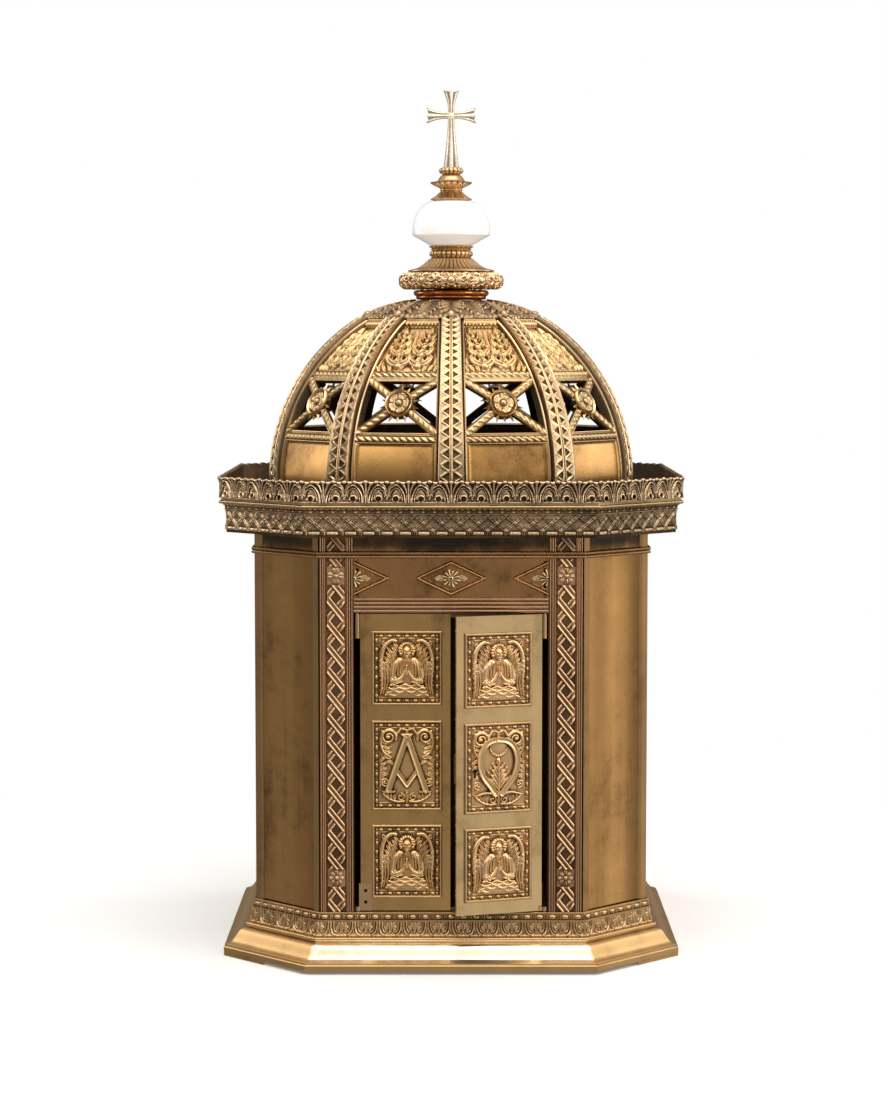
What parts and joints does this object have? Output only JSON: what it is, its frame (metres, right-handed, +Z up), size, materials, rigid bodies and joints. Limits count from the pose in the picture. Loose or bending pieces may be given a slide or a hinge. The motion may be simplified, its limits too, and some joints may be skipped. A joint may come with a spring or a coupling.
{
  "type": "altar tabernacle",
  "caption": "Octagonal brass altar tabernacle with two hinged doors, a gallery cornice, a pierced ribbed dome, a white glass knop and a cross.",
  "frame": {"origin": "on the vertical axis of the dome, in the plane the feet stand on", "axes": "+Z up; the doors face -Y; +X to the viewer's right when facing the doors"},
  "size_m": [0.5086, 0.5086, 0.957],
  "materials": {
    "plinth_brass": "polished, lightly toned",
    "ornament_brass": "cast relief with dark toning in the recesses and rubbed highlights",
    "body_brass": "satin, brown toned",
    "inner_brass": "dull sheet",
    "dome_brass": "gilt, satin, with toned recesses",
    "copper_collar": "copper-plated, polished",
    "finial_brass": "cast, gilt",
    "milk_glass": "opaque white glass",
    "rose_brass": "polished rose gilt",
    "door_brass": "polished sheet with dull clouding",
    "fitting_brass": "satin",
    "steel": "bright"
  },
  "bodies": {
    "case": {"feet": "plinth_brass", "bottom_plate": "plinth_brass", "plinth": "plinth_brass", "base_torus": "plinth_brass", "leaf_frieze": "ornament_brass", "base_bead_band": "ornament_brass", "case_floor": "body_brass", "left_side_panel": "body_brass", "right_side_panel": "body_brass", "back_panel": "body_brass", "corner_panels": "body_brass", "corner_stiles": "body_brass", "door_jambs": "body_brass", "lintel_panel": "body_brass", "door_sill": "body_brass", "pilasters": "body_brass", "guilloche_strips": "ornament_brass", "architrave_reeds": "body_brass", "lozenge_frames": "ornament_brass", "lozenge_rosettes": "ornament_brass", "string_course": "body_brass", "compartment_floor": "inner_brass", "compartment_walls": "inner_brass", "compartment_ceiling": "inner_brass", "door_stops": "inner_brass", "cornice_soffit": "body_brass", "cornice_frieze": "ornament_brass", "cornice_fillet": "body_brass", "gallery": "ornament_brass", "roof_deck": "body_brass", "dome_base_ring": "dome_brass", "dome_ribs": "dome_brass", "dome_lower_panels": "dome_brass", "dome_upper_panels": "dome_brass", "window_lattices": "dome_brass", "rope_rails": "dome_brass", "crown_cap": "dome_brass", "finial_collar": "copper_collar", "finial_torus": "finial_brass", "finial_bell": "finial_brass", "finial_bead_ring": "finial_brass", "knop": "milk_glass", "finial_crown": "finial_brass", "cross": "rose_brass", "tie_rod": "steel", "hinge_pins": "steel"},
    "left_door": {"left_door_leaf": "door_brass", "left_plaques": "ornament_brass", "left_hinges": "fitting_brass", "bolt_keeper": "fitting_brass", "flush_bolt_guides": "fitting_brass", "hinge_screws": "steel"},
    "right_door": {"right_door_leaf": "door_brass", "right_plaques": "ornament_brass", "right_hinges": "fitting_brass", "lock_case": "fitting_brass"},
    "lock_bolt": {"lock_bolt": "steel"},
    "lock_cam": {"lock_cam": "steel"},
    "top_flush_bolt": {"top_flush_bolt": "steel"},
    "bottom_flush_bolt": {"bottom_flush_bolt": "steel"}
  },
  "joints": [
    {"name": "left_door_hinge", "type": "hinge", "parent": "case", "child": "left_door", "pos_m": [-0.1002, -0.2133, 0.22], "axis": [0, 0, -1], "range_deg": [0, 105]},
    {"name": "right_door_hinge", "type": "hinge", "parent": "case", "child": "right_door", "pos_m": [0.1002, -0.2133, 0.22], "axis": [0, 0, 1], "range_deg": [-18, 87]},
    {"name": "lock_cam_turn", "type": "hinge", "parent": "right_door", "child": "lock_cam", "pos_m": [0.02168, -0.22956, 0.2175], "axis": [0.309, -0.9511, 0], "range_deg": [0, 90]},
    {"name": "lock_bolt_slide", "type": "slide", "parent": "right_door", "child": "lock_bolt", "axis": [-0.9511, -0.309, 0], "range_m": [0, 0.009]},
    {"name": "top_flush_bolt_slide", "type": "slide", "parent": "left_door", "child": "top_flush_bolt", "axis": [0, 0, 1], "range_m": [0, 0.01]},
    {"name": "bottom_flush_bolt_slide", "type": "slide", "parent": "left_door", "child": "bottom_flush_bolt", "axis": [0, 0, -1], "range_m": [0, 0.01]}
  ],
  "couplings": [
    {"joint": "lock_cam_turn", "follows": "lock_bolt_slide", "rad_per_m": 174.53}
  ]
}
